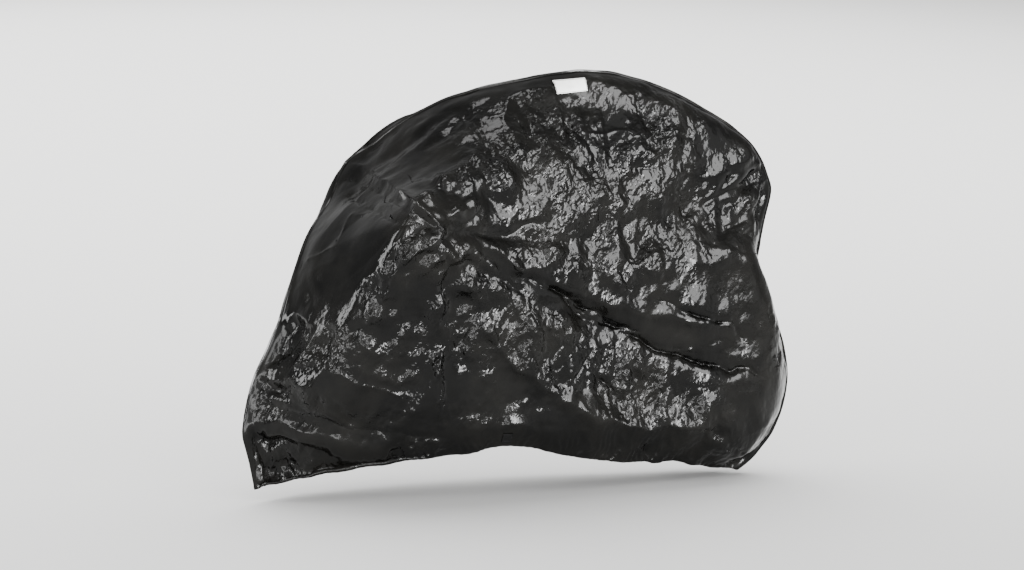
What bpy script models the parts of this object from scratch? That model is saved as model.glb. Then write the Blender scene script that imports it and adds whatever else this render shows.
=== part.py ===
"""Bicycle cover: two panels of thin film, welded along one seam that runs up the front,
over the top and down the rear, with a gathered hem that is open below.

The tables give places as x along the cover (front is minus), y across it (minus is the
near side) and height above the ground. The origin lies under the top, where the cover hangs.
"""
import math
from collections import namedtuple

import bmesh
import bpy
import numpy as np
from mathutils import Matrix, Vector
from mathutils.bvhtree import BVHTree

# Driving dimensions, in metres
FILM = 0.002            # thickness of the film
SEAM_GAP = 0.0003       # between the two welded edges
WELT = 0.006            # how far the welded edges stand out
HEM_LIP = 0.014         # width of the hem that the elastic turns in
GATHER = 0.006          # depth of the gathers at the hem
GATHERS = 13            # gathers along one hem
GATHERED = 0.20         # lower part of the panel where the gathers show
SEAT_GAP = 0.0007       # between a sewn-on piece and the film
HANG_POINT = (0.255, 0.030, 1.113)   # x, y and height of the place that holds the cover up

# Grid of each panel
COLUMNS = 56
ROWS = 28
END_CROWDING = 0.55     # how much closer the columns lie at the front and rear seams
ROW_CROWDING = 0.65     # how much closer the rows lie at the top seam and the hem

# Lines of the cover: x, y, height
SEAM = (
    (-0.661, -0.020, 0.032),
    (-0.670, -0.020, 0.090),
    (-0.690, -0.015, 0.200),
    (-0.660, 0.000, 0.317),
    (-0.592, 0.020, 0.452),
    (-0.540, 0.060, 0.578),
    (-0.480, 0.130, 0.688),
    (-0.395, 0.215, 0.780),
    (-0.350, 0.255, 0.862),
    (-0.278, 0.235, 0.918),
    (-0.180, 0.170, 1.000),
    (-0.042, 0.090, 1.066),
    (0.109, 0.030, 1.103),
    (0.268, 0.000, 1.122),
    (0.438, 0.000, 1.084),
    (0.609, 0.000, 1.002),
    (0.732, 0.000, 0.908),
    (0.786, 0.000, 0.796),
    (0.768, 0.000, 0.697),
    (0.750, 0.000, 0.560),
    (0.783, 0.000, 0.482),
    (0.829, 0.000, 0.360),
    (0.843, 0.000, 0.258),
    (0.818, 0.000, 0.146),
    (0.760, 0.000, 0.058),
    (0.695, 0.000, 0.006),
)
FRONT_CORNER = 8        # rows of the seam where its front stretch ends and its rear one starts
REAR_CORNER = 17
NEAR_HEM = (
    (-0.661, -0.020, 0.032),
    (-0.579, -0.070, 0.059),
    (-0.440, -0.110, 0.086),
    (-0.246, -0.150, 0.115),
    (-0.130, -0.162, 0.126),
    (-0.018, -0.170, 0.146),
    (0.180, -0.160, 0.102),
    (0.330, -0.130, 0.071),
    (0.498, -0.100, 0.058),
    (0.610, -0.055, 0.030),
    (0.695, 0.000, 0.006),
)
FAR_HEM = (
    (-0.661, -0.020, 0.032),
    (-0.570, 0.050, 0.050),
    (-0.420, 0.100, 0.080),
    (-0.230, 0.140, 0.110),
    (-0.010, 0.150, 0.128),
    (0.190, 0.140, 0.110),
    (0.350, 0.110, 0.080),
    (0.510, 0.085, 0.060),
    (0.620, 0.050, 0.032),
    (0.695, 0.000, 0.006),
)

# How far each panel stands out sideways from the middle plane, from the seam down to the hem:
# just under the seam, below that, at the shoulder, halfway and above the hem.
Spread = namedtuple("Spread", "along crown brow shoulder waist skirt")
SPREAD_AT = (0.016, 0.10, 0.22, 0.50, 0.80)
NEAR_SPREAD = (
    Spread(0.00, 0.200, 0.100, -0.080, -0.120, -0.070),
    Spread(0.07, 0.200, 0.080, -0.200, -0.200, -0.120),
    Spread(0.15, 0.130, -0.030, -0.285, -0.260, -0.170),
    Spread(0.26, 0.055, -0.065, -0.240, -0.270, -0.200),
    Spread(0.40, -0.030, -0.100, -0.180, -0.235, -0.205),
    Spread(0.52, -0.048, -0.096, -0.150, -0.200, -0.190),
    Spread(0.66, -0.040, -0.082, -0.120, -0.160, -0.155),
    Spread(0.80, -0.032, -0.068, -0.095, -0.125, -0.125),
    Spread(1.00, -0.030, -0.060, -0.080, -0.090, -0.090),
)
FAR_SPREAD = (
    Spread(0.00, 0.300, 0.318, 0.300, 0.200, 0.100),
    Spread(0.07, 0.300, 0.318, 0.310, 0.240, 0.130),
    Spread(0.15, 0.245, 0.295, 0.300, 0.250, 0.165),
    Spread(0.26, 0.180, 0.250, 0.270, 0.250, 0.185),
    Spread(0.40, 0.110, 0.165, 0.215, 0.220, 0.185),
    Spread(0.52, 0.085, 0.120, 0.165, 0.190, 0.170),
    Spread(0.66, 0.055, 0.080, 0.115, 0.145, 0.135),
    Spread(0.80, 0.040, 0.065, 0.090, 0.110, 0.110),
    Spread(1.00, 0.035, 0.055, 0.070, 0.080, 0.080),
)
# Length of the panel's end over which it closes in to the seam, as a part of its whole length
FRONT_CLOSING = 0.15
REAR_CLOSING = 0.12
# Strips beside the front and rear seams, and under the top one, where the folds fade out
SEAM_FADE = 0.035
CROWN_FADE = 0.08
CLOSING_SHAPE = 0.75    # under 1, the panel stays wide for longer and closes in late

# Welt: how far it leans towards the seam's own plane, and how often its direction is evened out
WELT_LEAN = 0.8
WELT_PASSES = 4
# Hem: its narrowest lip, how much wider it gets away from the middle plane, and its rise inwards
LIP_START = 0.002
LIP_GROWTH = 0.35
LIP_RISE = 0.3

# The far panel bulges up behind the seam
Rise = namedtuple("Rise", "along height")
FAR_RISE = (
    Rise(0.00, 0.030),
    Rise(0.08, 0.038),
    Rise(0.20, 0.050),
    Rise(0.34, 0.016),
    Rise(0.50, 0.022),
    Rise(0.62, 0.004),
    Rise(1.00, 0.000),
)
RISE_AT = 0.075
RISE_WIDTH = 0.060

# Parts of a fold's length over which it rises and dies away
FOLD_START = 0.15
FOLD_END = 0.25
# Folds, as ridges (plus) and troughs (minus) that run from one x and height to another
Fold = namedtuple("Fold", "x0 h0 x1 h1 depth width")
NEAR_FOLDS = (
    Fold(-0.223, 0.742, -0.370, 0.530, 0.016, 0.045),
    Fold(-0.223, 0.760, -0.225, 0.230, 0.014, 0.035),
    Fold(-0.223, 0.742, 0.200, 0.400, 0.018, 0.050),
    Fold(-0.120, 0.640, 0.330, 0.450, -0.018, 0.040),
    Fold(0.330, 0.450, 0.740, 0.340, -0.022, 0.040),
    Fold(-0.110, 0.730, 0.290, 0.710, -0.020, 0.055),
    Fold(0.290, 0.710, 0.640, 0.760, -0.016, 0.045),
    Fold(0.600, 0.760, 0.760, 0.860, -0.014, 0.035),
    Fold(0.560, 0.690, 0.740, 0.750, -0.012, 0.030),
    Fold(0.300, 0.400, 0.760, 0.300, 0.012, 0.045),
    Fold(-0.120, 0.210, 0.360, 0.190, 0.012, 0.050),
    Fold(-0.600, 0.250, -0.320, 0.190, -0.016, 0.040),
    Fold(-0.560, 0.160, -0.400, 0.120, -0.010, 0.040),
    Fold(-0.620, 0.330, -0.420, 0.300, 0.010, 0.040),
)
FAR_FOLDS = (
    Fold(-0.330, 0.860, -0.330, 0.300, 0.012, 0.040),
    Fold(-0.330, 0.800, -0.520, 0.400, 0.014, 0.045),
    Fold(-0.300, 0.830, 0.150, 0.500, 0.014, 0.050),
    Fold(-0.180, 0.700, 0.300, 0.330, -0.018, 0.045),
    Fold(0.150, 0.900, 0.420, 0.250, 0.012, 0.050),
    Fold(0.320, 0.560, 0.740, 0.420, -0.018, 0.045),
    Fold(-0.480, 0.260, -0.100, 0.220, -0.014, 0.040),
    Fold(0.250, 0.220, 0.600, 0.200, 0.012, 0.045),
)
# Places where the film is pushed out to a blunt point from inside: x, height, depth and width
Poke = namedtuple("Poke", "x h depth width")
NEAR_POKES = (Poke(-0.228, 0.762, 0.045, 0.055),)
FAR_POKES = (Poke(-0.375, 0.800, 0.026, 0.080),)

# Pieces on the near panel: x, height, width, height of the piece, tilt and thickness
Patch = namedtuple("Patch", "x h width height tilt thickness")
LABEL = Patch(0.199, 1.087, 0.086, 0.034, math.radians(4.6), 0.0010)
HEM_TAB = Patch(-0.015, 0.172, 0.028, 0.024, math.radians(-3.0), 0.0012)
PATCH_STEPS = (22, 9)


def curve_at(rows, t):
    """Point at t on the Catmull-Rom curve through the rows, whose first column rises from 0 to 1."""
    knots = [row[0] for row in rows]
    points = [np.array(row[1:]) for row in rows]
    last = len(rows) - 1
    i = min(max(int(np.searchsorted(knots, t, side="right")) - 1, 0), last - 1)
    span = knots[i + 1] - knots[i]
    f = (t - knots[i]) / span

    def slope(k):
        if k == 0:
            return (points[1] - points[0]) / (knots[1] - knots[0])
        if k == last:
            return (points[last] - points[last - 1]) / (knots[last] - knots[last - 1])
        return (points[k + 1] - points[k - 1]) / (knots[k + 1] - knots[k - 1])

    ends = (2 * f**3 - 3 * f**2 + 1) * points[i] + (3 * f**2 - 2 * f**3) * points[i + 1]
    tangents = (f**3 - 2 * f**2 + f) * slope(i) + (f**3 - f**2) * slope(i + 1)
    return ends + span * tangents


def by_length(line):
    """The line's points, each with its part of the whole length in front."""
    steps = np.linalg.norm(np.diff(np.array(line), axis=0), axis=1)
    marks = np.concatenate([[0.0], np.cumsum(steps)]) / steps.sum()
    return [(mark, *point) for mark, point in zip(marks, line)]


def crowded(count, strength):
    """Places from 0 to 1 that lie closer together towards both ends."""
    t = np.linspace(0.0, 1.0, count + 1)
    return t - strength * np.sin(2 * math.pi * t) / (2 * math.pi)


def smooth(t):
    """Soft step from 0 to 1."""
    t = min(max(t, 0.0), 1.0)
    return t * t * (3 - 2 * t)


def closing(u):
    """1 along the panel's middle, falling round to 0 at the front and rear seams."""
    end = min(u / FRONT_CLOSING, (1 - u) / REAR_CLOSING, 1.0)
    return math.sin(math.pi / 2 * end) ** CLOSING_SHAPE


class Panel:
    """One half of the cover: side is -1 for the near panel and 1 for the far one."""

    def __init__(self, side, hem, spread, folds, pokes, rise):
        self.side = side
        self.seam = by_length(SEAM)
        self.hem = by_length(hem)
        self.spread = spread
        self.folds = folds
        self.pokes = pokes
        self.rise = rise

    def edges(self, u, v):
        """Points of the top at u, and of the front and rear at v, on the one seam."""
        first, second = self.seam[FRONT_CORNER][0], self.seam[REAR_CORNER][0]
        top = curve_at(self.seam, first + u * (second - first))
        front = curve_at(self.seam, first * (1 - v))
        rear = curve_at(self.seam, second + v * (1 - second))
        return top, front, rear

    def profile(self, u, v, seam, hem):
        """Sideways place between the seam's and the hem's, at v down the panel."""
        spread = curve_at(self.spread, u)
        rows = [(0.0, seam), *zip(SPREAD_AT, spread), (1.0, hem)]
        return float(curve_at(rows, v)[0])

    def base(self, u, v):
        """Point of the plain drape: the four edges, blended, with the spread sideways."""
        top, front, rear = self.edges(u, v)
        hem = curve_at(self.hem, u)
        upper = (1 - u) * np.array(SEAM[FRONT_CORNER]) + u * np.array(SEAM[REAR_CORNER])
        lower = (1 - u) * np.array(SEAM[0]) + u * np.array(SEAM[-1])
        corners = (1 - v) * upper + v * lower
        point = (1 - v) * top + v * hem + (1 - u) * front + u * rear - corners
        if 0 < u < 1 and 0 < v < 1:
            seam = front[1] if u < 0.5 else rear[1]
            inside = self.profile(u, v, top[1], hem[1])
            point[1] = seam + (inside - seam) * closing(u)
        if self.rise:
            bump = math.exp(-((v - RISE_AT) / RISE_WIDTH) ** 2) * smooth(v / RISE_AT)
            point[2] += float(curve_at(self.rise, u)[0]) * bump * smooth(u / SEAM_FADE)
        return point

    def relief(self, x, h):
        """Height of the folds over the plain drape, at a place seen from the side."""
        total = 0.0
        for fold in self.folds:
            start, end = np.array((fold.x0, fold.h0)), np.array((fold.x1, fold.h1))
            run = end - start
            along = float(np.dot(np.array((x, h)) - start, run) / np.dot(run, run))
            nearest = start + run * min(max(along, 0.0), 1.0)
            away = math.hypot(x - nearest[0], h - nearest[1])
            fade = smooth(along / FOLD_START) * smooth((1 - along) / FOLD_END)
            total += fold.depth * fade * math.exp(-((away / fold.width) ** 2))
        for poke in self.pokes:
            away = math.hypot(x - poke.x, h - poke.h)
            total += poke.depth * math.exp(-away / poke.width)
        return total

    def drape(self):
        """Inner face of the panel as a grid of points, column by column from front to rear."""
        us, vs = crowded(COLUMNS, END_CROWDING), crowded(ROWS, ROW_CROWDING)
        grid = np.array([[self.base(u, v) for v in vs] for u in us])
        normals = np.cross(np.gradient(grid, axis=0), np.gradient(grid, axis=1)) * self.side
        normals /= np.linalg.norm(normals, axis=2, keepdims=True)
        for i, u in enumerate(us[1:-1], start=1):
            for j, v in enumerate(vs[1:], start=1):
                fade = smooth(min(u, 1 - u) / SEAM_FADE) * smooth(v / CROWN_FADE)
                lift = fade * self.relief(grid[i, j, 0], grid[i, j, 2]) if v < 1 else 0.0
                wave = math.sin(2 * math.pi * GATHERS * u) * closing(u)
                lift += GATHER * wave * smooth((v - 1 + GATHERED) / GATHERED)
                grid[i, j] += normals[i, j] * lift
        return grid


def seam_line(grid):
    """The panel's edge along the seam: up the front, over the top and down the rear."""
    return np.concatenate([grid[0, :0:-1], grid[:, 0], grid[-1, 1:]])


def beside_seam(grid):
    """The points next to the seam, one for each of its own."""
    front, top, rear = grid[1, :1:-1], grid[1:-1, 1], grid[-2, 2:]
    return np.concatenate([front, top[:1], top[:1], top, top[-1:], top[-1:], rear])


def unit(vectors):
    """The vectors at length 1."""
    return vectors / np.linalg.norm(vectors, axis=-1, keepdims=True)


def welt_directions(near, far):
    """For each point of the seam: the way its welt stands, and the way across to the near side."""
    seam = seam_line(near)
    along = unit(np.gradient(seam, axis=0))
    flat_out = np.stack([-along[:, 2], np.zeros(len(along)), along[:, 0]], axis=1)
    spread = unit(beside_seam(near) - seam) + unit(beside_seam(far) - seam)
    out = unit(WELT_LEAN * flat_out - spread)
    for _ in range(WELT_PASSES):
        out[1:-1] = unit(out[:-2] + 2 * out[1:-1] + out[2:])
    return out, unit(np.cross(along, out))


def panel_mesh(side, grid, out, across):
    """Open sheet of one panel: the drape, its half of the welt and its turned-in hem."""
    bm = bmesh.new()
    columns, rows = grid.shape[0] - 1, grid.shape[1] - 1
    shift = -side * across * SEAM_GAP / 2
    seam_index = (
        [(0, j) for j in range(rows, 0, -1)]
        + [(i, 0) for i in range(columns + 1)]
        + [(columns, j) for j in range(1, rows + 1)]
    )
    grid = grid.copy()
    for k, (i, j) in enumerate(seam_index):
        grid[i, j] += shift[k]
    verts = [[bm.verts.new(point) for point in column] for column in grid]
    faces = [
        (verts[i][j], verts[i + 1][j], verts[i + 1][j + 1], verts[i][j + 1])
        for i in range(columns)
        for j in range(rows)
    ]
    roots = [verts[i][j] for i, j in seam_index]
    tips = [bm.verts.new(grid[i, j] + out[k] * WELT) for k, (i, j) in enumerate(seam_index)]
    # triangles cut the same way on both panels, so that the two welts stay parallel
    for k in range(len(roots) - 1):
        faces += [(roots[k + 1], roots[k], tips[k]), (roots[k + 1], tips[k], tips[k + 1])]
    hem = [column[rows] for column in verts]
    lips = hem_lips(bm, side, grid[:, rows])
    faces += [(hem[i], hem[i + 1], lips[i + 1], lips[i]) for i in range(1, columns - 1)]
    faces += [(hem[0], hem[1], lips[1]), (hem[-2], hem[-1], lips[-2])]
    for face in faces:
        bm.faces.new(face if side > 0 else face[::-1])
    return bm


def hem_lips(bm, side, edge):
    """Points of the hem's inner edge, which the elastic draws in under the cover."""
    along = unit(np.gradient(edge, axis=0))
    inward = -side * unit(np.stack([-along[:, 1], along[:, 0], np.zeros(len(edge))], axis=1))
    lips = [None]
    for point, way in zip(edge[1:-1], inward[1:-1]):
        width = min(HEM_LIP, LIP_START + LIP_GROWTH * abs(point[1]))
        lips.append(bm.verts.new(point + way * width + np.array((0, 0, LIP_RISE * width))))
    return [*lips, None]


def add_object(name, bm, collection, material):
    """The mesh as an object, moved so that the origin is the hanging point."""
    mesh = bpy.data.meshes.new(name)
    bm.transform(Matrix.Translation([-value for value in HANG_POINT]))
    bm.to_mesh(mesh)
    bm.free()
    obj = bpy.data.objects.new(name, mesh)
    obj.data.materials.append(material)
    collection.objects.link(obj)
    return obj


def thicken(obj, thickness):
    """A solid sheet, thickened to the outside of its faces."""
    solidify = obj.modifiers.new("film", "SOLIDIFY")
    solidify.thickness = thickness
    solidify.offset = 1.0
    solidify.use_even_offset = False
    solidify.use_quality_normals = True


def patch_mesh(patch, panel):
    """A small sheet laid on the outside of the near panel, a little clear of it."""
    tree = BVHTree.FromObject(panel, bpy.context.evaluated_depsgraph_get())
    centre = Vector((patch.x, 0.0, patch.h)) - Vector(HANG_POINT)
    bm = bmesh.new()
    columns, rows = PATCH_STEPS
    verts = []
    for i in range(columns + 1):
        for j in range(rows + 1):
            flat = Vector((patch.width * (i / columns - 0.5), 0, patch.height * (0.5 - j / rows)))
            place = centre + Matrix.Rotation(-patch.tilt, 3, "Y") @ flat
            hit, normal, _, _ = tree.ray_cast(Vector((place.x, -1, place.z)), Vector((0, 1, 0)))
            verts.append(bm.verts.new(hit + normal * SEAT_GAP + Vector(HANG_POINT)))
    for i in range(columns):
        for j in range(rows):
            a = i * (rows + 1) + j
            corners = (verts[a], verts[a + 1], verts[a + rows + 2], verts[a + rows + 1])
            bm.faces.new(corners)
    return bm


def film_material():
    """Thin black film."""
    return plain_material("black_film", (0.020, 0.020, 0.018), 0.28)


def plain_material(name, colour, roughness):
    """Principled material of one colour."""
    material = bpy.data.materials.new(name)
    material.use_nodes = True
    shader = material.node_tree.nodes["Principled BSDF"]
    shader.inputs["Base Color"].default_value = (*colour, 1.0)
    shader.inputs["Roughness"].default_value = roughness
    shader.inputs["Metallic"].default_value = 0.0
    material.diffuse_color = (*colour, 1.0)
    return material


def clear_scene():
    """Remove what a new file holds."""
    for obj in list(bpy.data.objects):
        bpy.data.objects.remove(obj, do_unlink=True)


def build():
    """The whole cover."""
    clear_scene()
    parts = bpy.data.collections.new("bicycle_cover")
    bpy.context.scene.collection.children.link(parts)

    near = Panel(-1, NEAR_HEM, NEAR_SPREAD, NEAR_FOLDS, NEAR_POKES, None).drape()
    far = Panel(1, FAR_HEM, FAR_SPREAD, FAR_FOLDS, FAR_POKES, FAR_RISE).drape()
    out, across = welt_directions(near, far)
    near_panel = add_object(
        "near_panel", panel_mesh(-1, near, out, across), parts, film_material()
    )
    far_panel = add_object("far_panel", panel_mesh(1, far, out, across), parts, film_material())
    for panel in (near_panel, far_panel):
        thicken(panel, FILM)

    bpy.context.view_layer.update()
    white = plain_material("white_plate", (0.80, 0.80, 0.78), 0.35)
    black = plain_material("black_tape", (0.012, 0.012, 0.012), 0.60)
    label = add_object("label", patch_mesh(LABEL, near_panel), parts, white)
    tab = add_object("hem_tab", patch_mesh(HEM_TAB, near_panel), parts, black)
    thicken(label, LABEL.thickness)
    thicken(tab, HEM_TAB.thickness)


build()
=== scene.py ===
import math

import bmesh
import bpy
import numpy as np
from mathutils import Matrix, Vector, kdtree, noise
from mathutils.bvhtree import BVHTree


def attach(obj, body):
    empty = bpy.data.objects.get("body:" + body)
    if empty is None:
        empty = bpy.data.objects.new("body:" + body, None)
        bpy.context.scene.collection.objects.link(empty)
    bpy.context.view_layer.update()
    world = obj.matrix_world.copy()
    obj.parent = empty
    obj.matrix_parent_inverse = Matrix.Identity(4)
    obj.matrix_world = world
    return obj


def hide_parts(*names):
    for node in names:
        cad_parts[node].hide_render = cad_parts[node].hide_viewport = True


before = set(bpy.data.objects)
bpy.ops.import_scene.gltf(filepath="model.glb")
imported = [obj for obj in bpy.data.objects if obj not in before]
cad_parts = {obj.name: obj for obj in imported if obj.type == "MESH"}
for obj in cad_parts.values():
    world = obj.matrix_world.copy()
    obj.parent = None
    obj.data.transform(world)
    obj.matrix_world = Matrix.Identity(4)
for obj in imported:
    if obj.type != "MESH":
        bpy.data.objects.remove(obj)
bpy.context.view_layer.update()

noise.seed_set(4)    # otherwise the vector noise starts from the time of day
hangPoint = Vector((0.255, 0.030, 1.113))   # x, y and height above the ground of the part's origin
nearSide, farSide = -1, 1                   # along y


# objects and nodes, as all pieces make them

def newObject(name, data):
    obj = bpy.data.objects.new(name, data)
    bpy.context.scene.collection.objects.link(obj)
    return obj


def meshObject(name, bm):
    mesh = bpy.data.meshes.new(name)
    bm.to_mesh(mesh)
    bm.free()
    return newObject(name, mesh)


def bakeModifiers(obj):
    depsgraph = bpy.context.evaluated_depsgraph_get()
    mesh = bpy.data.meshes.new_from_object(obj.evaluated_get(depsgraph))
    obj.modifiers.clear()
    old = obj.data
    obj.data = mesh
    bpy.data.meshes.remove(old)


def fill(tree, node, inputs):
    # inputs by name or number; each value is another node's socket or a constant
    for key, value in inputs.items():
        if isinstance(value, bpy.types.NodeSocket):
            tree.links.new(value, node.inputs[key])
        else:
            node.inputs[key].default_value = value


def addNode(tree, kind, inputs=None, **settings):
    node = tree.nodes.new(kind)
    for name, value in settings.items():
        setattr(node, name, value)
    fill(tree, node, inputs or {})
    return node


def newMaterial(name):
    material = bpy.data.materials.new(name)
    material.use_nodes = True
    return material, material.node_tree, material.node_tree.nodes["Principled BSDF"]


def paint(obj, material):
    obj.data.materials.clear()
    obj.data.materials.append(material)


def rgba(colour, factor=1.0):
    return (*(factor * c for c in colour), 1)


def objectPlace(tree):
    return addNode(tree, "ShaderNodeTexCoord").outputs["Object"]


def mathNode(tree, operation, *values):
    return addNode(tree, "ShaderNodeMath", dict(enumerate(values)), operation=operation).outputs[0]


def vectorNode(tree, operation, *values, scale=None):
    inputs = dict(enumerate(values))
    if scale is not None:
        inputs["Scale"] = scale
    node = addNode(tree, "ShaderNodeVectorMath", inputs, operation=operation)
    return node.outputs["Value" if operation == "DOT_PRODUCT" else "Vector"]


def ranged(tree, source, to, start=(0.0, 1.0), **settings):
    inputs = {"Value": source, "From Min": start[0], "From Max": start[1], "To Min": to[0], "To Max": to[1]}
    return addNode(tree, "ShaderNodeMapRange", inputs, **settings).outputs["Result"]


def cloudNode(tree, source, output="Fac", **values):
    inputs = {name.capitalize(): value for name, value in values.items()}
    return addNode(tree, "ShaderNodeTexNoise", {"Vector": source, **inputs}).outputs[output]


def mixed(tree, share, first, second):
    inputs = {"Factor": share, "A": first, "B": second}
    return addNode(tree, "ShaderNodeMix", inputs, data_type="RGBA").outputs["Result"]


def bumped(tree, height, distance, strength, **under):
    inputs = {"Height": height, "Distance": distance, "Strength": strength, **under}
    return addNode(tree, "ShaderNodeBump", inputs).outputs["Normal"]


# camera, floor and light

photoView = {
    "aimAt": (0.050, 0.000, 0.550),     # x, y and height above the ground
    "azimuth": -16.0,
    "elevation": 8.0,
    "distance": 8.0,
    "pixelsPerMetre": 371.0,
    "frameWidth": 1024,                 # pixels
    "sensorWidth": 36.0,
    "farClip": 300.0,
}

studio = {
    "floorRadius": 90.0,
    "floorColour": (0.88, 0.88, 0.87),
    "floorRoughness": 0.9,
    "front": 1.90,               # the room's brightness on the photo's side and behind the cover
    "back": 0.50,
    "frontToBack": (-0.65, -0.15),    # where one fades to the other: y of the way from the cover
    # azimuth and elevation seen from the cover, distance, width, height and power of each softbox
    "softboxes": {
        "keyLight": (25.0, 25.0, 3.6, 1.8, 2.3, 260.0),
        "sparkLight": (8.0, 8.0, 3.9, 0.6, 1.3, 170.0),
        "frontLight": (-27.0, 22.0, 4.4, 1.0, 2.0, 60.0),
        "lowLight": (-48.0, 5.0, 3.8, 1.8, 0.6, 45.0),
        "floorLight": (-22.0, -3.0, 3.8, 2.0, 0.4, 45.0),
        "sideLight": (-92.0, 18.0, 4.0, 0.8, 2.4, 120.0),
        "topLight": (-95.0, 74.0, 3.2, 1.2, 1.0, 35.0),
        "backLight": (163.0, 12.0, 3.8, 1.4, 1.4, 130.0),
    },
    # place, width, length and power of the wide panel that lights the floor
    "floorWash": ((0.0, 16.0, 6.0), 22.0, 33.0, 6500.0),
}


def directionOf(azimuth, elevation):
    a, e = math.radians(azimuth), math.radians(elevation)
    return Vector((math.sin(a) * math.cos(e), -math.cos(a) * math.cos(e), math.sin(e)))


def turnTo(obj, direction):
    obj.rotation_mode = "QUATERNION"
    obj.rotation_quaternion = direction.to_track_quat("-Z", "Y")


def makeCamera():
    data = bpy.data.cameras.new("photoCamera")
    data.sensor_width = photoView["sensorWidth"]
    frameAtAim = photoView["frameWidth"] / photoView["pixelsPerMetre"]
    data.lens = photoView["distance"] / frameAtAim * photoView["sensorWidth"]
    data.clip_end = photoView["farClip"]
    camera = newObject("photoCamera", data)
    back = directionOf(photoView["azimuth"], photoView["elevation"])
    camera.location = Vector(photoView["aimAt"]) - hangPoint + back * photoView["distance"]
    turnTo(camera, -back)
    bpy.context.scene.camera = camera


def makeFloor():
    bm = bmesh.new()
    bmesh.ops.create_circle(bm, cap_ends=True, segments=64, radius=studio["floorRadius"])
    bmesh.ops.translate(bm, verts=bm.verts, vec=(0, 0, -hangPoint.z))
    floor = meshObject("floor", bm)
    material, tree, shader = newMaterial("floorPaint")
    fill(tree, shader, {
        "Base Color": rgba(studio["floorColour"]),
        "Roughness": studio["floorRoughness"],
    })
    paint(floor, material)
    return floor


def makeRoom():
    world = bpy.data.worlds.new("studioRoom")
    world.use_nodes = True
    tree = world.node_tree
    way = addNode(tree, "ShaderNodeTexCoord").outputs["Generated"]
    split = addNode(tree, "ShaderNodeSeparateXYZ", {0: way})
    brightness = ranged(
        tree, split.outputs["Y"], (studio["front"], studio["back"]), studio["frontToBack"],
        interpolation_type="SMOOTHSTEP",
    )
    fill(tree, tree.nodes["Background"], {"Color": (1, 1, 1, 1), "Strength": brightness})
    bpy.context.scene.world = world


def addPanelLight(name, place, way, width, height, power, receivers):
    data = bpy.data.lights.new(name, "AREA")
    data.shape = "RECTANGLE"
    data.size = width
    data.size_y = height
    data.energy = power
    light = newObject(name, data)
    light.location = place
    turnTo(light, way)
    light.light_linking.receiver_collection = receivers


def makeLights(floor):
    # the softboxes light everything but the floor, and the wash nothing else
    notFloor = bpy.data.collections.new("inSoftboxLight")
    notFloor.objects.link(floor)
    notFloor.collection_objects[0].light_linking.link_state = "EXCLUDE"
    centre = Vector(photoView["aimAt"]) - hangPoint
    for name, values in studio["softboxes"].items():
        azimuth, elevation, distance, width, height, power = values
        way = directionOf(azimuth, elevation)
        addPanelLight(name, centre + way * distance, -way, width, height, power, notFloor)
    floorAlone = bpy.data.collections.new("inFloorLight")
    floorAlone.objects.link(floor)
    place, width, length, power = studio["floorWash"]
    addPanelLight("floorWash", place, Vector((0, 0, -1)), width, length, power, floorAlone)


# the film's shape

film = {
    "solidThickness": 0.002,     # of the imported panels, whose inner faces the film follows
    "mergeDistance": 0.00002,
    "rounding": 2,               # subdivisions that round the panels
    "longestEdge": 0.0078,
    "splits": 4,                 # times that longer edges are halved
    "creaseEdge": 0.0034,        # longest edge beside thin creases, in a strip this wide
    "creaseStrip": 0.010,
    "creaseSplits": 2,
    "seamReach": 0.0008,         # how close the two panels lie where they are welded
    "flat": (1.15, 2.05),        # each panel as cut, before its corners are rounded off
    "flatArea": 1.75,
}

# crumple: a sheet folded over and over in all directions, as coarse, middle and fine facets
crumple = {
    "coarse": {"size": 0.30, "slope": 0.13, "folds": 5, "upright": 1.5, "seed": 11},
    "middle": {"size": 0.095, "slope": 0.32, "folds": 5, "upright": 2.4, "seed": 23},
    "fine": {"size": 0.042, "slope": 0.24, "folds": 5, "upright": 1.6, "seed": 37},
}
folding = {"pitch": (0.55, 1.30), "bend": 0.22, "bendSize": 0.8}    # shares of a crumple's size

# least and most of the middle and the fine crumple
crumpleLimits = {"middle": (0.02, 1.5), "fine": (0.02, 1.8)}

# wide and small clouds: how far they push the patches' edges about, and how much they add to the
# middle and to the fine crumple
clouds = {
    "wide": {"size": 0.16, "seed": 3},
    "small": {"size": 0.055, "seed": 8},
    "pushPatches": (0.035, 0.020),
    "addMiddle": 0.5,
    "addFine": (0.5, 1.2),
}

# faces that lie rather than hang are pulled smooth: y of the normal where they start, over which
# span they end, and what is left of each crumple and of the bump on them
lying = {"start": 0.12, "span": 0.45, "middle": 0.06, "fine": 0.25, "bump": 0.12}

# width of the strips beside the seam, the hem and the trim in which the relief fades out
calm = {"seam": 0.022, "seamCoarse": 0.12, "seamBump": 0.03, "hem": 0.020, "hemCoarse": 0.12,
        "trim": 0.014}
calmLeft = {"hem": 0.25, "tab": 0.2}      # share of the relief that stays beside the hem and the tab
coarseAtHem = 0.02                        # how far in the coarse folds are counted at the hem's edge

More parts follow.
